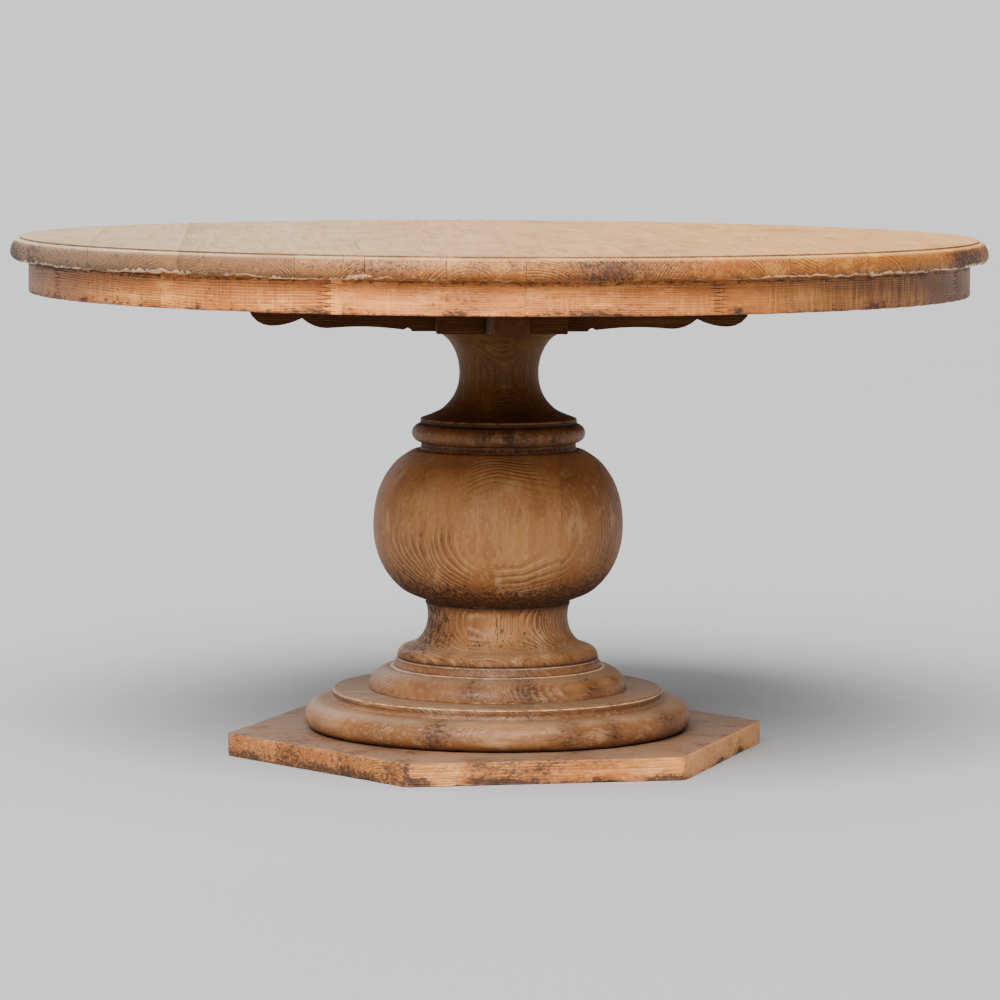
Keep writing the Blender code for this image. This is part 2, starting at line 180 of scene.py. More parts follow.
def even(points, spacing):
    """The same line with its points evenly spaced."""
    length = np.concatenate([[0], np.cumsum(np.linalg.norm(np.diff(points, axis=0), axis=1))])
    at = np.linspace(0, length[-1], int(length[-1] / spacing) + 2)
    return columns(*(np.interp(at, length, points[:, k]) for k in range(2)))


def blurred(points, reach):
    """Each point's average over reach points either side. The ends stay where they are."""
    padded = np.vstack([points[:1]] * reach + [points] + [points[-1:]] * reach)
    kernel = np.hanning(2 * reach + 3)[1:-1]
    kernel /= kernel.sum()
    soft = columns(*(np.convolve(padded[:, k], kernel, "valid") for k in range(2)))
    soft[0], soft[-1] = points[0], points[-1]
    return soft


def unit(vectors):
    return vectors / np.maximum(np.linalg.norm(vectors, axis=1, keepdims=True), 1e-9)


def outward(points):
    """Unit vectors to the outline's left, which is out of a piece whose outline runs down its outer side."""
    along = np.gradient(points, axis=0)
    return unit(columns(-along[:, 1], along[:, 0]))


def edge_wear(points, spacing):
    """How far each point of an outline is an arris (first) or a groove (second), 0 to 1."""
    reach, full = 3.5 * MM, 0.35 * MM
    average = blurred(points, max(2, int(reach / spacing)))
    proud = ((points - average) * outward(points)).sum(axis=1) / full
    return np.clip(proud, 0, 1), np.clip(-proud, 0, 1)


def neighbour_distance(points, name):
    """How far in metres each outline point lies from the pieces next to it."""
    step = 2 * MM
    others = [fine_outline(cad_section(other), step) for other in TURNED if other != name]
    rim = np.vstack(others + [[[radius, PLINTH_TOP] for radius in np.arange(*TORUS_SEAT, step)]])
    return np.linalg.norm(points[:, None] - rim[None], axis=2).min(axis=1)


# Meshes

def grid_mesh(points, wrap_rows):
    """Vertices and faces of a grid of points [row, column], closed round the columns and maybe the rows."""
    rows, count = points.shape[:2]
    index = np.arange(rows * count).reshape(rows, count)
    last = index if wrap_rows else index[:-1]
    below = np.roll(index, -1, axis=0) if wrap_rows else index[1:]
    faces = columns(last, np.roll(last, -1, axis=1), np.roll(below, -1, axis=1), below)
    return points.reshape(-1, 3), faces.reshape(-1, 4)


def new_mesh(name, vertices, faces):
    mesh = bpy.data.meshes.new(name)
    mesh.from_pydata(vertices, [], faces)
    return mesh


def new_object(name, data):
    thing = bpy.data.objects.new(name, data)
    bpy.context.scene.collection.objects.link(thing)
    return thing


def add_piece(mesh, grain, wear, material, slot, *nodes):
    """Links a mesh as the piece that stands for CAD nodes, with its two attributes, three arrays each."""
    for name, values in (("grain", grain), ("wear", wear)):
        attribute = mesh.attributes.new(name, "FLOAT_VECTOR", "POINT")
        attribute.data.foreach_set("vector", columns(*values).astype(np.float32).ravel())
    mesh.materials.clear()
    mesh.materials.append(material)
    mesh.shade_smooth()
    mesh.set_sharp_from_angle(angle=SHARP_ANGLE)
    piece = new_object(mesh.name, mesh)
    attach(piece, "root")
    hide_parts(*nodes)


def vectors_of(items, key):
    flat = np.empty(len(items) * 3, np.float32)
    items.foreach_get(key, flat)
    return flat.reshape(-1, 3).astype(float)


def coordinates(mesh):
    return vectors_of(mesh.vertices, "co")


def normals(mesh):
    return vectors_of(mesh.vertex_normals, "vector")


def move_to(mesh, points):
    mesh.vertices.foreach_set("co", np.asarray(points, np.float32).ravel())
    mesh.update()


# Turned pieces

# Dark knots, dents and darker patches: the angle seen from the front (positive to the right), the height, the
# radius and the depth. Where the depth is below 0 it is a lighter patch, partly polish and partly painted
# light:
# painted sheen near the front, and painted light against the top's shadow on the bulb's upper left
BLEMISHES = {
    "bulb": (
        # (-36, 0.395, ...) is painted light against the top's shadow; the lighter patches near the front are
        # partly painted sheen
        (2, 0.325, 0.095, -1.3), (24, 0.33, 0.07, -1.0), (-36, 0.395, 0.06, -1.9), (-27, 0.330, 0.022, 0.75),
        (-24, 0.282, 0.036, 0.62), (-31, 0.352, 0.022, 0.6), (62, 0.300, 0.05, 0.5), (30, 0.262, 0.04, 0.45),
        (75, 0.38, 0.05, 0.5), (150, 0.30, 0.05, 0.7), (215, 0.37, 0.04, 0.7),
    ),
    "lower_neck": (
        (-20, 0.190, 0.009, 1.0), (-32, 0.152, 0.018, 0.7), (12, 0.150, 0.03, 0.65), (45, 0.150, 0.03, 0.6),
        (-66, 0.190, 0.08, 0.85), (4, 0.195, 0.035, -1.6), (160, 0.18, 0.03, 0.7),
    ),
    "base_torus": (
        (-18, 0.058, 0.034, 0.85), (-42, 0.066, 0.04, 0.62), (22, 0.06, 0.045, 0.62), (36, 0.058, 0.03, 0.7),
        (-58, 0.05, 0.07, -2.1), (4, 0.05, 0.05, -1.0), (62, 0.062, 0.04, 0.62), (140, 0.06, 0.04, 0.8),
        (230, 0.06, 0.04, 0.8),
    ),
    "base_ovolo": (
        (-12, 0.118, 0.024, 0.62), (14, 0.112, 0.035, 0.68), (48, 0.11, 0.03, 0.6), (180, 0.11, 0.03, 0.7),
    ),
    "base_disc": ((10, 0.088, 0.05, 0.5), (120, 0.088, 0.05, 0.5)),
    "column_neck": ((20, 0.52, 0.05, 0.5), (-30, 0.51, 0.05, 0.4)),
    "collar_ring": (
        (8, 0.484, 0.02, 0.8), (-10, 0.49, 0.02, 0.6), (40, 0.48, 0.02, 0.7), (200, 0.48, 0.03, 0.7),
    ),
}

# Belts round a turned piece that are rubbed bare, or darker: height, half width and strength. On the bulb the
# wide belt low down is painted shade, and the narrow darker belts darken bands near the joints
RUBBED = {
    "bulb": ((0.4686, 0.6 * MM, 0.5), (0.4596, 0.6 * MM, 0.6)),
    "base_ovolo": ((0.1416, 0.6 * MM, 1.4), (0.1292, 0.6 * MM, 1.3)),
    "base_disc": ((0.0925, 0.6 * MM, 1.2),),
}
GRIME_AND_SHADE_BELTS = {
    # the bulb's belt at 0.23 with a half width of 72 mm is painted shade over its lower half
    "bulb": ((0.4642, 4.5 * MM, 0.95), (0.2300, 72 * MM, 0.95)),
    "lower_neck": ((0.2270, 14 * MM, 0.55), (0.1460, 6 * MM, 0.6)),
    "base_disc": ((0.0850, 5 * MM, 0.5),),
}


def belts(table, name, heights):
    """The strongest of a piece's belts at each height."""
    strongest = np.zeros(len(heights))
    for height, width, strength in table.get(name, ()):
        strongest = np.maximum(strongest, strength * hump(heights - height, width))
    return strongest


def blemish_mask(name, points, dirt):
    """How dark and pitted a turned piece is at each point, or how polished and painted lighter, on top of its
    dirt and painted shade.
    """
    dark, polish_and_painted_light = np.zeros(len(points)), np.zeros(len(points))
    radius = np.hypot(points[:, 0], points[:, 1])
    for degrees, height, size, depth in BLEMISHES[name]:
        turn = math.radians(degrees) + CAMERA_AZIMUTH
        spot = columns(radius * math.sin(turn), -radius * math.cos(turn), np.full(len(points), height))
        mark = depth * hump(np.linalg.norm(points - spot, axis=1), size)
        dark, polish_and_painted_light = np.maximum(dark, mark), np.minimum(polish_and_painted_light, mark)
    return np.maximum(dark, dirt) + polish_and_painted_light * (1 - dirt)


def spun(outline):
    """Rows of an outline (radius, height), each turned once round as TURNED_STEPS points."""
    turn = np.linspace(0, 2 * math.pi, TURNED_STEPS, endpoint=False)
    radius, height = (outline[:, None, k] for k in range(2))
    return columns(radius * np.cos(turn), radius * np.sin(turn), np.repeat(height, TURNED_STEPS, axis=1))


def turned_piece(name, material, slot, pith, lying=None, spacing=OUTLINE_STEP):
    """A turned piece rebuilt finely from its CAD outline, with worn arrises and shallow dents. pith is where
    the middle of its log lies: across and back, or across and up where the grain is lying, that many degrees
    from X."""
    seam_reach, crevice_dirt_and_shade_reach = 5 * MM, 16 * MM
    outline = even(fine_outline(cad_section(name), spacing / 2), spacing)
    outline = blurred(outline, 1)
    arris, groove = edge_wear(outline, spacing)
    away = neighbour_distance(outline, name)
    # Darker near the neighbouring pieces: the groove and the wider darkening are partly dirt in the joints
    # and partly painted shade in the crevices between them
    groove = np.maximum(groove, hump(away, seam_reach))
    dirt = np.maximum(0.42 * hump(away, crevice_dirt_and_shade_reach), belts(GRIME_AND_SHADE_BELTS, name, outline[:, 1]))
    arris = np.maximum(arris, belts(RUBBED, name, outline[:, 1]))
    section = np.vstack([[BORE, outline[0, 1]], outline, [BORE, outline[-1, 1]]])
    side = np.vstack([[0, 0], outward(outline), [0, 0]])

    vertices, faces = grid_mesh(spun(section), wrap_rows=True)
    push = spun(side).reshape(-1, 3)
    arris, groove, dirt = (np.repeat(np.pad(row, 1), TURNED_STEPS) for row in (arris, groove, dirt))
    stain = blemish_mask(name, vertices, dirt)
    rubbed = 0.25 + 0.6 * band(noise(vertices, 45, 1), 0, 0.8) + 0.5 * band(noise(vertices, 160, 2), 0.2, 0.9)
    rubbed = np.minimum(arris, 1) * rubbed
    dents = band(noise(vertices, 75, 3), 0.62, 0.9)
    dents += 0.6 * np.maximum(stain, 0) * band(noise(vertices, 220, 4), 0.1, 0.7)
    shift = 0.35 * noise(vertices, 7, 5) + 0.15 * noise(vertices, 30, 6) - 1.1 * rubbed - 0.8 * dents
    vertices = vertices + push * shift[:, None] * MM

    x, y, z = vertices.T
    if lying is None:
        grain = x - pith[0], z, y - pith[1]
    else:
        way = math.radians(lying)
        along = x * math.cos(way) + y * math.sin(way)
        beside = y * math.cos(way) - x * math.sin(way)
        grain = beside - pith[0], along, z - pith[1]
    mesh = new_mesh("turned_" + name, vertices, faces.tolist())
    add_piece(mesh, grain, (arris, groove, stain), material, slot, name)


# Slabs sliced into planks: the top and the plinth

def slab(section, radii, recess=()):
    """A bmesh disc or polygon: a section of (distance in from the edge, height) spun round, with its own
    outer radius each way. A recess goes on from there as (radius, height)."""
    turn = np.linspace(0, 2 * math.pi, len(radii), endpoint=False)
    reach = np.maximum(radii[None, :] - np.asarray(section)[:, :1], 0)
    if recess:
        reach = np.vstack([reach, np.repeat(np.asarray(recess)[:, :1], len(radii), axis=1)])
    heights = np.repeat(np.asarray([*section, *recess])[:, 1:], len(radii), axis=1)
    vertices, faces = grid_mesh(columns(reach * np.cos(turn), reach * np.sin(turn), heights), wrap_rows=False)
    mesh = new_mesh("slab", vertices, faces[:, ::-1].tolist())
    bm = bmesh.new()
    bm.from_mesh(mesh)
    bpy.data.meshes.remove(mesh)
    bmesh.ops.remove_doubles(bm, verts=bm.verts, dist=1e-6)
    return bm


def sliced(whole, direction, low, high):
    """The part of a slab between two distances along direction, closed, with its cut edges eased.
    Returns its bmesh and the vertices on the eased edges."""
    bm = whole.copy()
    for distance, way in ((low, -direction), (high, direction)):
        cut, inside = direction * distance, direction * distance - way * SEAM_EASE
        for place, clear in ((cut, True), (inside, False)):
            everything = list(bm.verts) + list(bm.edges) + list(bm.faces)
            bmesh.ops.bisect_plane(bm, geom=everything, plane_co=place, plane_no=way, clear_outer=clear)
    bm.normal_update()
    rim = [vert for vert in bm.verts if vert.is_boundary]
    eased = [(vert, vert.normal.copy()) for vert in rim]
    bmesh.ops.holes_fill(bm, edges=[edge for edge in bm.edges if edge.is_boundary], sides=0)
    for vert, normal in eased:
        vert.co -= normal * SEAM_EASE
    bm.verts.index_update()
    return bm, {vert.index for vert, _ in eased}


def mesh_of(bm, name):
    mesh = bpy.data.meshes.new(name)
    bm.to_mesh(mesh)
    bm.free()
    return mesh


def plank_rim(count, rim):
    """A mask that is 1 on a plank's eased edges."""
    mask = np.zeros(count)
    mask[list(rim)] = 1
    return mask


def box_of(*nodes):
    """The lowest and highest corners of several CAD nodes together."""
    corners = [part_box(node) for node in nodes]
    low = [min(pair[0][k] for pair in corners) for k in range(3)]
    high = [max(pair[1][k] for pair in corners) for k in range(3)]
    return low, high


def nodes_like(prefix):
    return sorted(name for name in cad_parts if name.startswith(prefix))


TOP_PLANKS = nodes_like("top_plank")
PLINTH_PLANKS = nodes_like("plinth_plank")
APRON = nodes_like("apron_segment")


def top_section(high, low):
    """The top's half section as (distance in from the rim, height), from the middle of its face to its
    underside: a flat face, a small step, then the moulding's long curve and its tight lower bulge."""
    moulding, step, bulge = 14.5 * MM, 2.2 * MM, 12 * MM
    widest = low + bulge
    rise = high - step - widest
    rings = [(share, high) for share in np.linspace(TOP_RADIUS, 45 * MM, 16)]
    rings += [(moulding + 9 * MM, high), (moulding + 2.2 * MM, high), (moulding + 1.0 * MM, high - 0.1 * MM)]
    rings += [(moulding + 0.5 * MM, high - 0.9 * step), (moulding, high - step)]
    for angle in np.radians(np.linspace(84, 0, 17)):
        rings.append((moulding - moulding * math.cos(angle), widest + rise * math.sin(angle)))
    for angle in np.radians(np.linspace(0, -90, 13)[1:]):
        rings.append((bulge - bulge * math.cos(angle), widest + bulge * math.sin(angle)))
    under = (15 * MM, 18 * MM, 22 * MM, 26 * MM, 60 * MM, 200 * MM, 400 * MM, TOP_RADIUS)
    return rings + [(share, low) for share in under]


def torn_lip(points, radius, low):
    """Breaks the lower edge of the top's moulding away in a ragged line. Returns how torn each point is."""
    deepest = 6.8 * MM
    reach = np.hypot(points[:, 0], points[:, 1])
    around = points * [1, 1, 0]
    torn_here = np.maximum(band(noise(around, 5, 19), -0.5, 0.5), band(around @ TORN_SIDE, 0.50, 0.62))
    ragged = 0.45 + 0.4 * noise(around, 9, 20) + 0.35 * noise(around, 34, 21)
    ragged += torn_here * (0.45 * noise(around, 100, 22) + 0.35 * noise(around, 260, 23))
    depth = deepest * np.clip(ragged, 0.02, 1.2) * band(reach, radius - 26 * MM, radius - 17 * MM)
    floor = low + depth
    torn = band(floor - points[:, 2], -2.2 * MM, -0.6 * MM) * band(reach, radius - 20 * MM, radius - 13 * MM)
    torn *= 0.35 + 0.65 * band(noise(around, 7, 25), -0.5, 0.2)
    torn *= 0.60 + 0.40 * band(noise(points, 130, 26), -0.5, 0.3)
    points[:, 2] = np.where(reach > radius - 27 * MM, np.maximum(points[:, 2], floor), points[:, 2])
    burr = 1 + 0.7 * MM * torn * band(noise(around, 60, 24), -0.2, 0.5) / np.maximum(reach, MM)
    points[:, :2] *= np.where(reach < radius - 1.2 * MM, burr, 1)[:, None]
    return torn


def top_pieces():
    low, high = box_of(*TOP_PLANKS)
    radius = high[0]
    whole = slab(top_section(high[2], low[2]), np.full(TOP_STEPS, radius))
    for number, node in enumerate(TOP_PLANKS):
        left, right = (corner[0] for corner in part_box(node))
        bm, rim = sliced(whole, Vector((1, 0, 0)), left - PLANK_GAP, right + PLANK_GAP)
        mesh = mesh_of(bm, node + "_detail")
        points, out = coordinates(mesh), normals(mesh)
        cupped = -0.16 * MM * (1 + noise(points * [1, 0, 0], 11, 30 + number)) * (out[:, 2] > 0.9)
        torn = torn_lip(points, radius, low[2])
        reach = np.hypot(points[:, 0], points[:, 1])
        nicks = band(noise(points, 60, 31), 0.55, 0.95) * band(reach, radius - 14 * MM, radius - 6 * MM)
        uneven = (1 + noise(points, 14, 32)) * band(reach, radius - 16 * MM, radius - 10 * MM)
        points += out * ((-0.5 * nicks - 0.25 * uneven) * MM + cupped)[:, None]
        move_to(mesh, points)

        step = hump(reach - (radius - 15.0 * MM), 1.2 * MM) * (points[:, 2] > high[2] - 4 * MM)
        seam = 0.06 * plank_rim(len(points), rim)
        arris = 2 * torn + 0.5 * hump(reach - (radius - 17.5 * MM), 2 * MM) * (out[:, 2] > 0.7)
        rim_side = band(radius - reach, 14 * MM, 2 * MM)
        grime = rim_side * (0.46 + 0.55 * band(noise(points, 9, 33), -0.1, 0.7)) * (1 - torn)
        chance = lattice((number, 7, 3), 1), lattice((number, 9, 5), 2)
        pith = (left + right) / 2 + 0.09 * chance[0], low[2] - 0.05 - 0.05 * chance[1]
        grain = points[:, 0] - pith[0], points[:, 1] + 3.1 * number, points[:, 2] - pith[1]
        wear = arris, np.maximum(seam, step), grime
        add_piece(mesh, grain, wear, top_wood, "top_wood", node)
    whole.free()


def plinth_section(high, low):
    """The plinth's half section as (distance in from the edge, height)."""
    ease = 1.6 * MM
    quarter = [(ease * (1 - math.sin(a)), ease * (1 - math.cos(a))) for a in np.linspace(0, math.pi / 2, 5)]
    rings = [(share * MM, high) for share in (420, 300, 220, 160, 120, 90, 60, 35, 18, 9, 5, 3)]
    rings += [(inset, high - drop) for inset, drop in quarter]
    rings += [(0, height) for height in np.linspace(high - 2 * ease, low + 2 * ease, 15)]
    rings += [(inset, low + drop) for inset, drop in quarter[::-1]]
    return rings + [(share * MM, low) for share in (4, 10, 50, 200, 300)]


def hexagon_radii(corner_radius, rounding):
    """The hexagon's outer radius at each step round, from its corner at BASE_TURN, with rounded corners."""
    turn = np.linspace(0, 2 * math.pi, PLINTH_STEPS, endpoint=False) - BASE_TURN
    from_flat = np.mod(turn, math.pi / 3) - math.pi / 6
    flat = corner_radius * math.cos(math.pi / 6)
    sharp = flat / np.cos(from_flat)
    return -rounding * np.logaddexp(-sharp / rounding, -(corner_radius - rounding) / rounding)


def nut_recess(low):
    """The recess for the tie rod's washer and nut in the plinth's underside, as (radius, height)."""
    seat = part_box("tie_rod_washer_foot")[1]
    wall, ceiling = seat[0] + 1.5 * MM, seat[2] + 0.3 * MM
    return [(wall, low), (wall, ceiling), (0, ceiling)]


def plinth_grime_and_light(points, turn, level, inside, corner_line, near_top):
    """Grime on the plinth: spots everywhere, more at the foot and along the corners, and one face darker. The
    face on the right, towards the front, is painted lighter, as painted light.
    """
    dirt = band(0.66 - level + 0.45 * noise(points, 22, 45), 0.0, 0.7) * (inside < 8 * MM)
    darker_side = band(np.cos(turn - BASE_TURN - DARKER_SIDE), 0.80, 0.90)
    # Painted light: the face on the right, towards the front, is made lighter
    painted_lit_side = band(np.cos(turn - BASE_TURN - PAINTED_LIT_SIDE), 0.80, 0.90) * (inside < 4 * MM)
    dirt = np.maximum(dirt, darker_side * (0.50 + 0.3 * band(noise(points, 22, 48), -0.4, 0.6)))
    spots = 0.30 + 0.40 * band(noise(points, 20, 47), 0.0, 0.8)
    grime = np.clip(np.maximum(dirt, spots) + 0.8 * corner_line, 0, 1)
    return np.maximum(grime, 0.60 * near_top) - 2.4 * painted_lit_side * (1 - dirt)


def plinth_pieces():
    low, high = box_of(*PLINTH_PLANKS)
    corner = high[0] / math.cos(BASE_TURN)
    radii = np.minimum(hexagon_radii(corner, 1.5 * MM), corner)
    whole = slab(plinth_section(high[2], low[2]), radii, nut_recess(low[2]))
    across = Vector((-math.sin(BASE_TURN), math.cos(BASE_TURN), 0))
    torus_foot = cad_section("base_torus")[-1][0]
    every_turn = np.linspace(0, 2 * math.pi, PLINTH_STEPS + 1)
    for number, node in enumerate(PLINTH_PLANKS):
        reach = [vert.co.dot(across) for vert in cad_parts[node].data.vertices]
        bm, rim = sliced(whole, across, min(reach) - PLANK_GAP, max(reach) + PLANK_GAP)
        mesh = mesh_of(bm, node + "_detail")
        points, out = coordinates(mesh), normals(mesh)
        radius = np.hypot(points[:, 0], points[:, 1])
        turn = np.arctan2(points[:, 1], points[:, 0])
        edge = np.interp(np.mod(turn, 2 * math.pi), every_turn, np.append(radii, radii[0]))
        inside = edge - radius
        near_top = hump(points[:, 2] - high[2], 3 * MM) * hump(inside, 3.5 * MM)
        near_foot = hump(points[:, 2] - low[2], 5 * MM) * hump(inside, 6 * MM)
        chips = band(noise(points, 38, 41), 0.25, 0.9) * 1.9 + band(noise(points, 140, 42), 0.1, 0.9) * 0.9
        shift = -(near_top + 0.8 * near_foot) * (0.4 + chips)
        shift -= band(noise(points, 55, 43), 0.6, 0.95) * 0.7 * (inside < 2 * MM)
        shift -= 0.3 * (1 + noise(points, 10, 44)) * (points[:, 2] > low[2] + 1 * MM)
        points += out * (shift * MM)[:, None]
        points[:, 2] = np.maximum(points[:, 2], low[2])
        move_to(mesh, points)

        level = (points[:, 2] - low[2]) / (high[2] - low[2])
        corner_line = hump(edge - corner + 1.6 * MM, 1.2 * MM) * (inside < 3 * MM)
        # Painted shade round the torus: a dark ring on the plinth's top at the torus's foot, partly dirt in
        # the joint
        foot = hump(radius - torus_foot, 9 * MM) * (out[:, 2] > 0.8)
        groove = np.maximum(0.5 * plank_rim(len(points), rim), 0.8 * foot)
        grime = plinth_grime_and_light(points, turn, level, inside, corner_line, near_top)
        along = points @ np.array([math.cos(BASE_TURN), math.sin(BASE_TURN), 0])
        side = points @ np.array(across)
        pith = side.mean() + 0.05 * (number % 2), low[2] - 0.06 + 0.02 * number
        grain = side - pith[0], along + 2.7 * number, points[:, 2] - pith[1]
        add_piece(mesh, grain, (near_top * 0.35, groove, grime), plinth_wood, "base_wood", node)
    whole.free()


# The apron

def apron_outline(inner, outer, low, high):
    """One segment's closed section as (radius, height), from its outer top corner down and round, with two
    close rows at each edge of the fingers that some joints have."""
    ease, close, rows = 2.6 * MM, 0.3 * MM, 5
    edges = np.linspace(high, low, FINGERS + 1)
    levels = np.concatenate([
        np.linspace(top - close, bottom + close, rows) for top, bottom in zip(edges, edges[1:])
    ])
    levels = levels[levels > low + ease]
    levels[0] = high
    face = [(outer, level) for level in levels]
    foot = [
        (outer - ease * (1 - math.cos(a)), low + ease * (1 - math.sin(a)))
        for a in np.linspace(0, math.pi / 2, 6)
    ]
    under = [(radius, low) for radius in np.linspace(outer - ease, inner + 1 * MM, 7)[1:]]
    back = [(inner, level) for level in levels[::-1]]
    return np.array(face + foot + under + back)


def face_rows(outline):
    """How many of the outline's points lie on its outer face, as many as on its inner one."""
    return int((outline[:, 0] == outline[-1, 0]).sum())


def finger_reach(level, low, high):
    """How far a finger at each height reaches past its joint's middle: out and in by turns."""
    share = np.clip((level - low) / (high - low), 0, 0.999)
    return np.where(np.floor(share * FINGERS) % 2 == 0, FINGER_LENGTH / 2, -FINGER_LENGTH / 2)


def apron_mesh(node, outline, turn, slide):
    """A block swept through the angles in turn, with slide moving each point along the arc."""
    side = np.roll(outline, -1, axis=0) - np.roll(outline, 1, axis=0)
    side = unit(columns(-side[:, 1], side[:, 0]))
    inset = np.zeros(len(turn))
    inset[[0, -1]] = 0.6 * SEAM_EASE
    section = outline[None] - side[None] * inset[:, None, None]
    angle = turn[:, None] + slide
    radius, height = section[..., 0], section[..., 1]
    swept = columns(radius * np.cos(angle), radius * np.sin(angle), height)
    vertices, faces = grid_mesh(swept, wrap_rows=False)
    count, rows = len(outline), face_rows(outline)
    caps = [[k, k + 1, count - 2 - k, count - 1 - k] for k in range(rows - 1)]
    caps.append(list(range(rows - 1, count - rows + 1)))
    last = len(vertices) - count
    caps = [cap[::-1] for cap in caps] + [[last + k for k in cap] for cap in caps]
    return new_mesh(node + "_detail", vertices, faces.tolist() + caps), vertices


def apron_grime_and_shadow(number, points, level, from_front):
    """Grime on an apron block at its foot and in spots, painted shadow under the top's lip, and darkening all
    over the darker blocks, partly stain and partly painted shade.
    """
    dirt = 0.85 * band(0.34 - level + 0.35 * noise(points, 20, 55), 0.0, 0.6)
    # Painted shadow: darker towards the top of the block, under the top's lip; also darker towards the bottom
    dirt = np.maximum(dirt, np.maximum(0.75 * band(level, 0.74, 1.0), 0.5 * band(level, 0.42, 0.0)))
    grime = np.maximum(dirt, 0.1 + 0.4 * band(noise(points, 14, 57), 0.1, 0.9))
    grime += DARK_SEGMENTS.get(number, 0.0)
    if number == APRON_SEGMENTS - 1:
        grime -= 2.4 * band(np.abs(from_front - 2 * math.pi - PALE_END), *PALE_EDGES)
    return grime


def apron_pieces():
    """The apron's glued blocks. Every other joint between them is finger-jointed."""
    low, high = box_of(*APRON)
    outer = high[0]
    inner = min(np.hypot(vert.co.x, vert.co.y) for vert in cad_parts[APRON[0]].data.vertices)
    outline = apron_outline(inner, outer, low[2], high[2])
    reach = finger_reach(outline[:, 1], low[2], high[2]) / outer
    at_edge = np.abs(np.gradient(reach)) > 0
    pitch = 2 * math.pi / APRON_SEGMENTS
    gap, ease = 0.02 * MM / outer, SEAM_EASE / outer
    near = np.array([0, 1, 20, 40, 60, 90, 120, 150]) * ease + gap
    for number, node in enumerate(APRON):
        start = number * pitch - math.pi / 2
        finish = start + pitch
        middle = np.linspace(start + near[-1], finish - near[-1], APRON_STEPS)[1:-1]
        turn = np.concatenate([start + near, middle, finish - near[::-1]])
        fingered = start if number % 2 else finish
        fade = band(np.abs(turn - fingered), near[-1] * 2.2, near[-1] * 0.4)
        mesh, points = apron_mesh(node, outline, turn, fade[:, None] * reach[None])

        radius = np.hypot(points[:, 0], points[:, 1])
        near_foot = band(low[2] + 5 * MM - points[:, 2], 0, 5 * MM) * (radius > outer - 4 * MM)
        chips = band(noise(points, 50, 51), 0.3, 0.9) * 1.6 + band(noise(points, 150, 52), 0.2, 0.9) * 0.7
        dents = 0.5 * band(noise(points, 70, 54), 0.65, 0.95)
        shift = -near_foot * chips - 0.25 * (1 + noise(points, 12, 53)) - dents
        shift *= points[:, 2] < high[2] - 1 * MM
        points = points + normals(mesh) * (shift * MM)[:, None]
        move_to(mesh, points)

        arc = (np.arctan2(points[:, 1], points[:, 0]) - start + math.pi) % (2 * math.pi) - math.pi
        side = 1 if number % 3 else -1
        chance = lattice((number, 3, 1), 5), lattice((number, 5, 2), 6)
        pith = 0.10 * side + 0.05 * chance[0], 0.06 + 0.05 * chance[1]
        up = points[:, 2] - low[2]
        grain = up + pith[0], arc * outer + 1.9 * number, outer - radius + pith[1]
        grime = apron_grime_and_shadow(number, points, up / (high[2] - low[2]), start + math.pi / 2 + arc)
        beside = np.abs(turn - fingered) < (FINGER_LENGTH / 2 + 1 * MM) / outer
        joint = 1.6 * beside[:, None] * at_edge[None]
        joint[[0, -1]] = np.maximum(joint[[0, -1]], 0.6)
        add_piece(mesh, grain, (near_foot * 0.4, joint.ravel(), grime), apron_wood, "apron_wood", node)


# The cross and its blocks

def cut_piece(node, along, material):
    """A sawn piece rebuilt from its CAD solid, with its edges eased. along is the axis its grain runs in."""
    bm = bmesh.new()
    bm.from_mesh(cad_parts[node].data)
    bmesh.ops.remove_doubles(bm, verts=bm.verts, dist=1e-5)
    bmesh.ops.dissolve_limit(bm, angle_limit=math.radians(1), verts=bm.verts, edges=bm.edges)
    sharp = [edge for edge in bm.edges if edge.is_manifold and edge.calc_face_angle() > math.radians(50)]
    rounding = {"offset": CUT_EASE, "segments": 2, "profile": 0.5, "clamp_overlap": True}
    bmesh.ops.bevel(bm, geom=sharp, affect="EDGES", **rounding)
    mesh = mesh_of(bm, node + "_detail")
    points = coordinates(mesh)
    low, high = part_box(node)
    first, last = (k for k in range(3) if k != along)
    pith = low[first] - 30 * MM, high[last] + 20 * MM
    own_place = low[0] * 9 + low[1] * 5
    grain = points[:, first] - pith[0], points[:, along] + own_place, points[:, last] - pith[1]
    clean = np.zeros(len(points))
    add_piece(mesh, grain, (clean, clean, clean + 0.35), material, "under_wood", node)
    mesh.set_sharp_from_angle(angle=math.radians(30))


def under_pieces():
    cut_piece("cross_arm_side", 0, under_wood)
    cut_piece("cross_arm_front", 1, under_wood)
    for node in nodes_like("head_block"):
        cut_piece(node, 0, under_wood)


# Materials

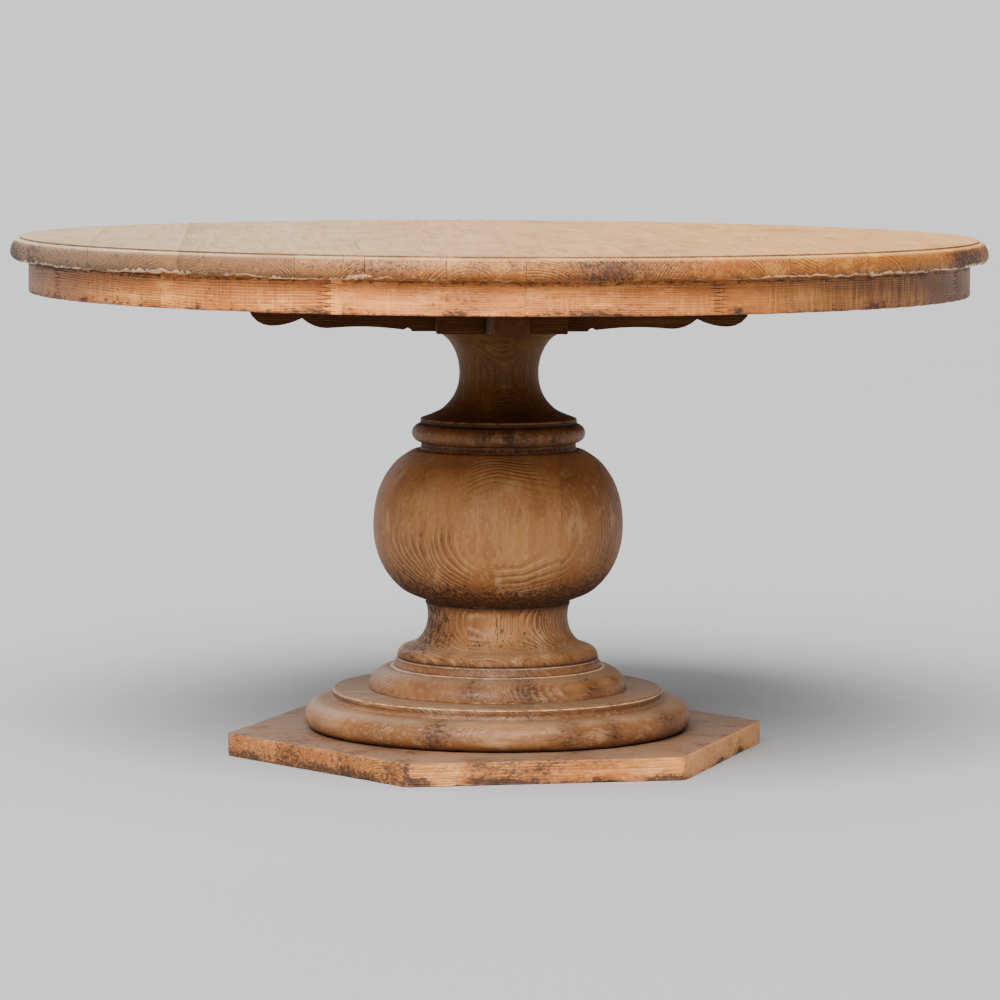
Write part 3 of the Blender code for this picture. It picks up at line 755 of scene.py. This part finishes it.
class Graph:
    """A node tree of a new material or world, built by short calls that each return an output socket."""

    def __init__(self, name, family=bpy.data.materials):
        self.owner = family.new(name)
        self.owner.use_nodes = True
        self.tree = self.owner.node_tree

    def put(self, socket, value):
        if isinstance(value, bpy.types.NodeSocket):
            self.tree.links.new(value, socket)
        elif isinstance(value, (tuple, list)) and len(value) == 3 and socket.type == "RGBA":
            socket.default_value = (*value, 1)
        elif value is not None:
            socket.default_value = value

    def node(self, kind, *values, **settings):
        made = self.tree.nodes.new(kind)
        for key, setting in settings.items():
            setattr(made, key, setting)
        for socket, value in zip(made.inputs, values):
            self.put(socket, value)
        return made

    def put_all(self, node, **values):
        """Sets a node's inputs by name, with _ for a space."""
        for key, value in values.items():
            self.put(node.inputs[key.replace("_", " ")], value)
        return node

    def math(self, operation, *values, clamp=False):
        return self.node("ShaderNodeMath", *values, operation=operation, use_clamp=clamp).outputs[0]

    def times(self, a, b, clamp=False):
        return self.math("MULTIPLY", a, b, clamp=clamp)

    def plus(self, a, b, clamp=False):
        return self.math("ADD", a, b, clamp=clamp)

    def minus(self, a, b):
        return self.math("SUBTRACT", a, b)

    def most(self, a, b):
        return self.math("MAXIMUM", a, b)

    def vector(self, operation, a, b=None):
        return self.node("ShaderNodeVectorMath", a, b, operation=operation).outputs

    def split(self, vector):
        return self.node("ShaderNodeSeparateXYZ", vector).outputs

    def join(self, x, y, z):
        return self.node("ShaderNodeCombineXYZ", x, y, z).outputs[0]

    def place(self, kind="Object"):
        return self.node("ShaderNodeTexCoord").outputs[kind]

    def attribute(self, name):
        made = self.node("ShaderNodeAttribute", attribute_name=name, attribute_type="GEOMETRY")
        return made.outputs["Vector"]

    def noise(self, vector, scale, detail=2.0, roughness=0.5, output="Factor"):
        """Noise in 0..1. The scale is in bumps per metre, one number or one per axis."""
        if isinstance(scale, tuple):
            vector, scale = self.vector("MULTIPLY", vector, scale)[0], 1.0
        made = self.node("ShaderNodeTexNoise")
        self.put_all(made, Vector=vector, Scale=scale, Detail=detail, Roughness=roughness)
        return made.outputs[0 if output == "Factor" else 1]

    def wander(self, vector, scale, reach):
        """A vector that strays by about half of reach each way, in metres."""
        stray = self.vector("SUBTRACT", self.noise(vector, scale, 2, output="Color"), (0.5, 0.5, 0.5))[0]
        return self.vector("MULTIPLY", stray, (reach,) * 3)[0]

    def band(self, value, low, high, bottom=0.0, top=1.0):
        """Bottom at low, top at high and smooth between. High may be below low."""
        made = self.node("ShaderNodeMapRange", interpolation_type="SMOOTHSTEP")
        ends = {"From_Min": low, "From_Max": high, "To_Min": bottom, "To_Max": top}
        return self.put_all(made, Value=value, **ends).outputs[0]

    def mix(self, share, a, b):
        made = self.node("ShaderNodeMix", data_type="RGBA")
        for number, value in ((0, share), (6, a), (7, b)):
            self.put(made.inputs[number], value)
        return made.outputs[2]

    def finish(self, colour, roughness, height, **shader_values):
        bump = self.put_all(self.node("ShaderNodeBump"), Strength=1.0, Distance=1.0, Height=height)
        shader = self.tree.nodes["Principled BSDF"]
        self.put_all(shader, Base_Color=colour, Roughness=roughness, Normal=bump.outputs[0], **shader_values)
        return self.owner


TIMBER = {
    "light": (0.44, 0.165, 0.052),  # sound, waxed wood
    "deep": (0.27, 0.085, 0.023),  # wood that took more stain
    "late": (0.13, 0.042, 0.013),  # the troughs between the growth rings' hard lines
    "pale": (0.58, 0.29, 0.125),  # the hard lines, and wood rubbed thin
    "dust": (0.44, 0.26, 0.14),  # the greyish bloom on faces that look up
    "left_dust": None,  # another colour of bloom towards the left: a painted reflection's greyer tint over the dust
    # grime: the dark of dirt, holes and grooves, also used for the painted shade in crevices
    "grime": (0.030, 0.015, 0.009),
    "bare": (0.78, 0.50, 0.28),  # rubbed arrises
    "ring": 4.0 * MM,  # from one growth ring to the next
    "wander": 0.016,  # how far the rings stray
    "contrast": 0.5,  # how clear the ring lines are
    "relief": 0.30 * MM,  # how proud the ring lines stand
    "patchy": 0.0,  # how much of the ring lines is worn away, 0 to 0.2
    "blocks": 0.0,  # width of the boards that a turned piece is glued up from, 0 for one piece
    "streaks": 1.0,  # how clear the streaks along the grain are
    "saw": 0.0,  # how clear the saw marks across the grain are
    "speck": 0.5,  # how many dark specks there are
    "dusty": 0.4,  # how strong the bloom is
    "left": None,  # painted shade at the left end as seen from the front: its colour, where it starts and is full, and its strength; right is the same at the right end
    "right": None,
    "patches": 0.35,  # how clear the pale and dark patches are
    "fibres": 0.55,  # how clear the fibres are
    "clouds": 0.15,  # how much sound wood shows through the bloom
    "veins": 0.0,  # how much of the grain does
    "roughness": 0.50,
    "shine": 0.35,
}


def glued_boards(g, grain, width):
    """Shifts each board of a glued-up piece to its own place in its own log. Returns the shifted place, the
    seams and each board's tone."""
    x, y, z = g.split(grain)
    count = g.plus(g.math("DIVIDE", x, width), 0.5)
    board = g.math("FLOOR", count)
    other = g.math("MINIMUM", g.math("ABSOLUTE", board), 1.0)  # 0 on the middle board, 1 on the others
    chance = g.put_all(g.node("ShaderNodeTexWhiteNoise", noise_dimensions="1D"), W=board).outputs["Color"]
    moved = g.vector("MULTIPLY", g.vector("SUBTRACT", chance, (0.5, 0.5, 0.5))[0], (0.10, 3.0, 0.16))[0]
    moved = g.vector("MULTIPLY", moved, g.join(other, other, other))[0]
    edge = g.math("ABSOLUTE", g.minus(g.math("FRACT", count), 0.5))
    seam = g.band(edge, 0.5 - 0.5 * MM / width, 0.5)
    tone = g.times(g.split(chance)[1], g.times(other, 0.5))
    return g.vector("ADD", grain, moved)[0], seam, tone


def growth_rings(g, grain, grime, look):
    """Rings round the log's middle, that wander slowly and quickly: raised pale lines and dark troughs."""
    slow = g.wander(grain, (5, 0.9, 5), 2 * look["wander"])
    quick = g.wander(grain, (38, 5, 38), 3.0 * MM)
    place = g.vector("ADD", g.vector("ADD", grain, slow)[0], quick)[0]
    distance = g.vector("LENGTH", g.vector("MULTIPLY", place, (1, 0, 1))[0])[1]
    uneven = g.noise(g.join(distance, 0.0, 0.0), 45, 1)
    turns = g.plus(g.math("DIVIDE", distance, look["ring"]), g.times(uneven, 2.2))
    phase = g.math("FRACT", turns)
    line = g.times(g.band(phase, 0.60, 0.76), g.band(phase, 0.97, 0.84))
    trough = g.times(g.band(phase, 0.42, 0.25), g.band(phase, 0.0, 0.10))
    worn = 0.34 + look["patchy"]
    clear = g.times(g.band(g.noise(grain, (14, 6, 14)), worn, worn + 0.24), g.band(grime, -0.75, -0.1))
    return g.times(line, clear), g.times(trough, clear)


def saw_marks(g, grain, strength):
    """Fine parallel scratches across the grain, in patches."""
    marks = g.noise(grain, (16, 380, 16), 2, 0.7)
    where = g.times(g.band(g.noise(grain, (8, 9, 8)), 0.40, 0.60), strength)
    return g.times(g.band(marks, 0.44, 0.64), where)


def holes(g, grain, grime, look):
    """Specks, drying checks and worm holes, all dark and sunk."""
    crowd = g.band(g.noise(grain, (11, 4, 11)), 0.52 - 0.1 * look["speck"], 0.74)
    crowd = g.most(crowd, g.times(grime, 1.3))
    specks = g.band(g.noise(grain, (260, 90, 260), 2, 0.6), 0.61, 0.68)
    checks = g.math("ABSOLUTE", g.minus(g.noise(grain, (60, 1.6, 60), 2, 0.6), 0.5))
    checked = g.band(g.noise(grain, (7, 2, 7), 1), 0.54, 0.66)
    worm = g.put_all(g.node("ShaderNodeTexVoronoi", feature="F1"), Vector=grain, Scale=42.0)
    chosen = g.band(g.split(worm.outputs["Color"])[0], 0.88, 0.92)
    worm_holes = g.times(g.band(worm.outputs["Distance"], 0.042, 0.028), chosen)
    open_checks = g.times(g.band(checks, 0.007, 0.002), checked)
    return g.most(g.most(g.times(specks, crowd, clamp=True), open_checks), worm_holes)


def bloomed(g, grain, colour, streak, stain, patch, trough, look):
    """Paints shade on the wood towards its left and right ends as seen from the front, then lays the bloom
    over faces that look up, with a painted reflection's tint towards the left where asked. Returns the new
    colour, and how smooth to leave the surface."""
    up = g.split(g.node("ShaderNodeNewGeometry").outputs["Normal"])[2]
    across = g.split(g.place())[0]
    # Painted shade: the wood darkens towards its left and right ends as seen from the front, where the light
    # falls off
    for end in ("left", "right"):
        if look[end]:
            shade, start, finish, strength = look[end]
            strength = g.times(g.band(up, -0.97, -0.70), strength)
            colour = g.mix(g.times(g.band(across, start, finish), strength), colour, shade)
    # Painted reflection: towards the left the bloom takes another, greyer colour
    dust = g.mix(g.band(across, -0.60, 0.55), look["left_dust"] or look["dust"], look["dust"])
    cloudy = g.band(g.noise(grain, (13, 9, 13), 5, 0.7), 0.38, 0.62)
    faded = g.mix(g.times(cloudy, look["clouds"]), dust, look["light"])
    veins = g.most(g.band(streak, 0.50, 0.66), g.most(trough, g.band(stain, 0.50, 0.68)))
    faded = g.mix(g.times(veins, look["veins"]), faded, look["deep"])
    bloom = g.times(g.band(up, 0.60, 0.97), g.plus(0.55, g.times(patch, 0.8)))
    bloom = g.times(bloom, look["dusty"], clamp=True)
    return g.mix(bloom, colour, faded), g.minus(1.0, g.times(bloom, 0.85))


def timber(name, **changes):
    """Worn timber: growth rings, fibres, stain, saw marks, holes, bloom, grime and rubbed arrises, with
    painted shade and light from the wear attribute and at the ends.
    """
    look = {**TIMBER, **changes}
    g = Graph(name)
    grain = g.attribute("grain")
    arris, groove, grime = g.split(g.attribute("wear"))
    seam, tone = 0.0, 0.0
    if look["blocks"]:
        grain, seam, tone = glued_boards(g, grain, look["blocks"])

    # The wood's own colours
    line, trough = growth_rings(g, grain, grime, look)
    fibre = g.noise(grain, (520, 16, 520), 3, 0.65)
    streak = g.noise(grain, (110, 4, 110), 3, 0.6)
    stain = g.noise(grain, (9, 3, 9), 3, 0.6)
    patch = g.noise(grain, (30, 14, 30), 4, 0.65)
    scuff = g.noise(grain, (170, 110, 170), 3, 0.7)
    stained = g.plus(g.plus(stain, g.times(tone, 0.1)), g.times(grime, 0.22))
    colour = g.mix(g.band(stained, 0.36, 0.66), look["light"], look["deep"])
    for mask, strength, shade in (
        (g.band(streak, 0.48, 0.66), 0.70 * look["streaks"], "deep"),
        (g.band(streak, 0.46, 0.30), 0.50 * look["streaks"], "pale"),
        (g.band(patch, 0.54, 0.68), look["patches"], "pale"),
        (g.band(patch, 0.47, 0.34), look["patches"], "deep"),
        (trough, look["contrast"], "late"),
        (line, look["contrast"], "pale"),
        (g.band(fibre, 0.52, 0.68), look["fibres"], "late"),
        (g.band(scuff, 0.56, 0.68), 0.38, "pale"),
    ):
        colour = g.mix(g.times(mask, strength), colour, look[shade])
    colour, smooth = bloomed(g, grain, colour, streak, stain, patch, trough, look)
    height = g.times(g.times(g.minus(line, trough), smooth), look["relief"])
    height = g.plus(height, g.times(g.plus(fibre, scuff), -0.12 * MM))
    if look["saw"]:
        marks = saw_marks(g, grain, look["saw"])
        colour = g.mix(g.times(marks, 0.26), colour, look["pale"])
        height = g.minus(height, g.times(marks, 0.15 * MM))

    # Dirt and painted shade darken the wood, and it gathers as fine speckle, in holes and along grooves,
    # where the groove also paints shade in crevices; grime below 0 lightens it, partly as painted light.
    # Arrises are rubbed bare
    colour = g.mix(g.times(g.band(grime, 0.20, 1.1), 0.72), colour, look["late"])
    colour = g.mix(g.times(g.band(grime, -1.3, -2.3), 0.45), colour, look["pale"])
    sunk = g.times(holes(g, grain, grime, look), smooth)
    cloud = g.noise(grain, (190, 80, 190), 4, 0.72)
    dirty = g.band(g.plus(cloud, g.times(grime, 0.36)), 0.70, 0.86)
    fill = g.times(groove, g.band(g.noise(grain, 40, 3), 0.3, 0.6, bottom=0.5))
    dark = g.times(g.most(dirty, sunk), 0.85)
    dark = g.most(dark, g.times(g.most(fill, g.times(seam, 0.5)), 0.75))
    worn = g.plus(g.noise(grain, 80, 3, 0.6), g.times(arris, 0.45))
    rubbed = g.times(g.band(worn, 0.70, 0.98), g.math("MINIMUM", arris, 1.0))
    colour = g.mix(g.times(rubbed, 0.9), colour, look["bare"])
    colour = g.mix(dark, colour, look["grime"])
    height = g.minus(height, g.times(sunk, 0.7 * MM))
    height = g.minus(height, g.times(g.most(dirty, seam), 0.2 * MM))
    rough = g.plus(look["roughness"], g.times(g.minus(patch, 0.5), 0.25))
    rough = g.plus(rough, g.times(dark, 0.2), clamp=True)
    return g.finish(colour, rough, height, Specular_IOR_Level=look["shine"])


def steel(name, colour, roughness, thread=0.0):
    """Zinc-plated steel, dulled in patches, with a thread of a given pitch if asked."""
    g = Graph(name)
    place = g.place()
    cloud = g.noise(place, 60, 4, 0.6)
    shade = g.mix(g.band(cloud, 0.4, 0.7), colour, tuple(0.45 * part for part in colour))
    height = g.times(cloud, 0.05 * MM)
    if thread:
        x, y, z = g.split(place)
        turn = g.math("DIVIDE", g.math("ARCTAN2", y, x), 2 * math.pi)
        wave = g.math("PINGPONG", g.plus(g.math("DIVIDE", z, thread), turn), 0.5)
        height = g.plus(height, g.times(wave, thread))
    return g.finish(shade, g.plus(roughness, g.times(cloud, 0.25)), height, Metallic=1.0)


def tinted(tint, *names):
    """Some of the timber's colours, each multiplied by a tint."""
    return {name: tuple(part * share for part, share in zip(TIMBER[name], tint)) for name in names}


WOOD = ("light", "deep", "late", "pale")
top_wood = timber(
    "top_wood", dusty=0.86, contrast=0.60, relief=0.36 * MM, patchy=0.06, patches=0.6, speck=0.9, clouds=0.25,
    # The greyer bloom colour towards the left is a painted reflection
    veins=0.30, dust=(0.59, 0.325, 0.125), left_dust=(0.47, 0.345, 0.200),
    # left: painted shade on the top's left end
    left=((0.135, 0.090, 0.050), 0.0, -0.62, 0.82), **tinted((0.86, 0.76, 0.30), *WOOD),
)
apron_wood = timber(
    "apron_wood", saw=1.0, dusty=0.0, ring=3.4 * MM, contrast=0.42, wander=0.03, patches=0.6,
    # left and right: painted shade on the apron's ends as seen from the front, the left end partly grime
    left=((0.13, 0.065, 0.030), -0.46, -0.70, 0.70), right=((0.10, 0.036, 0.011), 0.10, 0.55, 0.90),
    **tinted((1.70, 1.50, 0.90), *WOOD),
)
# A dark copy of the wood for the cross and its blocks under the top: partly dark wood, partly painted shade
under_wood = timber(
    "under_wood", dusty=0.1, roughness=0.75, shine=0.10, bare=(0.22, 0.13, 0.06),
    **tinted((0.18, 0.16, 0.11), *WOOD, "dust"),
)
# A darker copy of the column's wood for the neck: partly darker stain, partly painted shade under the top
neck_wood_stained_and_shaded = timber(
    "neck_wood_stained_and_shaded", blocks=0.20, dusty=0.1, contrast=0.25, saw=0.6, shine=0.12, bare=(0.30, 0.17, 0.07),
    **tinted((0.28, 0.30, 0.21), *WOOD, "dust"),
)
# Painted shade: the collar, in the top's shadow, gets a darker copy of the column's wood
collar_wood_shaded = timber(
    "collar_wood_shaded", blocks=0.20, dusty=0.1, contrast=0.25, saw=0.6, bare=(0.60, 0.34, 0.15),
    **tinted((0.46, 0.46, 0.36), *WOOD, "dust"),
)
column_wood = timber(
    "column_wood", blocks=0.20, dusty=0.3, wander=0.034, ring=4.6 * MM, contrast=0.48, shine=0.20,
    relief=0.55 * MM, patchy=0.02, streaks=0.35, patches=0.5, fibres=0.32,
    **tinted((0.90, 1.06, 1.14), *WOOD, "dust"),
)
base_wood = timber(
    "base_wood", dusty=0.45, ring=3.2 * MM, contrast=0.36, relief=0.24 * MM, patchy=0.05, shine=0.28,
    patches=0.5, **tinted((0.61, 0.72, 0.84), *WOOD, "dust"),
)
plinth_wood = timber(
    "plinth_wood", dusty=0.95, contrast=0.35, dust=(0.165, 0.110, 0.074), patches=0.5,
    **tinted((1.24, 1.24, 0.92), *WOOD),
)
zinc = steel("zinc", (0.55, 0.55, 0.56), 0.35)
threaded_zinc = steel("threaded_zinc", (0.50, 0.50, 0.51), 0.38, thread=2.0 * MM)
screw_zinc = steel("screw_zinc", (0.30, 0.29, 0.27), 0.45)


# Build

top_pieces()
apron_pieces()
under_pieces()
turned_piece("column_neck", neck_wood_stained_and_shaded, "column_wood", (0.0, 0.16))
turned_piece("collar_ring", collar_wood_shaded, "column_wood", (0.0, 0.20))
turned_piece("bulb", column_wood, "column_wood", (-0.015, 0.28))
turned_piece("lower_neck", column_wood, "column_wood", (0.05, 0.10), spacing=1.2 * MM)
turned_piece("base_ovolo", base_wood, "base_wood", (0.05, -0.02), lying=35, spacing=0.8 * MM)
turned_piece("base_disc", base_wood, "base_wood", (-0.06, 0.20), lying=-50, spacing=0.8 * MM)
turned_piece("base_torus", base_wood, "base_wood", (0.03, -0.06), lying=10)
plinth_pieces()

# The metal pieces stay the CAD nodes, with looks of their own
for node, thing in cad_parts.items():
    if node.startswith("tie_rod"):
        material = threaded_zinc if node == "tie_rod" else zinc
    elif node.startswith("cross_screw"):
        material = screw_zinc
    else:
        continue
    thing.data.materials.clear()
    thing.data.materials.append(material)
    if node != "tie_rod":
        eased = thing.modifiers.new("eased", "BEVEL")
        eased.width = 0.3 * MM
        eased.segments = 2


# Stage, light and camera

def floor(albedo):
    size = 60
    corners = [(-size, -size, 0), (size, -size, 0), (size, size, 0), (-size, size, 0)]
    mesh = new_mesh("floor", corners, [(0, 1, 2, 3)])
    g = Graph("floor")
    shade = g.mix(g.noise(g.place(), 0.8, 3), (albedo - 0.01,) * 3, (albedo + 0.01,) * 3)
    mesh.materials.append(g.finish(shade, 0.9, 0.0))
    thing = new_object("floor", mesh)


def soft_light(name, azimuth, elevation, strength, spread, colour=(1, 1, 1)):
    """A large, far light. The azimuth is from the front, positive to the right; the spread is how wide it
    looks. A strength of 1 lights a white face turned to it to a brightness of 1."""
    light = bpy.data.lights.new(name, "SUN")
    light.energy = strength * math.pi
    light.angle = math.radians(spread)
    light.color = colour
    turn, rise = math.radians(azimuth), math.radians(elevation)
    towards = Vector((math.sin(turn) * math.cos(rise), -math.cos(turn) * math.cos(rise), math.sin(rise)))
    new_object(name, light).rotation_euler = towards.to_track_quat("Z", "Y").to_euler()


def surroundings(horizon, sky):
    """An even studio, as bright at the horizon as the floor is, and darker overhead."""
    g = Graph("studio", bpy.data.worlds)
    height = g.split(g.place("Generated"))[2]
    strength = g.band(height, 0.03, 0.22, horizon, sky)
    g.put_all(g.tree.nodes["Background"], Color=(1, 1, 1), Strength=strength)
    bpy.context.scene.world = g.owner


def photo_camera():
    data = bpy.data.cameras.new("camera")
    data.lens = LENS
    data.sensor_width = SENSOR
    thing = new_object("camera", data)
    turn = Matrix.Rotation(CAMERA_AZIMUTH, 4, "Z")
    tilt = Matrix.Rotation(math.pi / 2 - CAMERA_PITCH, 4, "X")
    roll = Matrix.Rotation(CAMERA_ROLL, 4, "Z")
    place = Matrix.Translation((CAMERA_SIDEWAYS, -CAMERA_DISTANCE, CAMERA_HEIGHT))
    thing.matrix_world = turn @ place @ tilt @ roll
    bpy.context.scene.camera = thing


floor(0.32)
surroundings(1.08, 0.08)
soft_light("key", -13, 48, 3.3, 48)
soft_light("overhead", -20, 80, 0.60, 60)
soft_light("back", -155, 30, 0.30, 40, (0.85, 0.93, 1.0))
photo_camera()
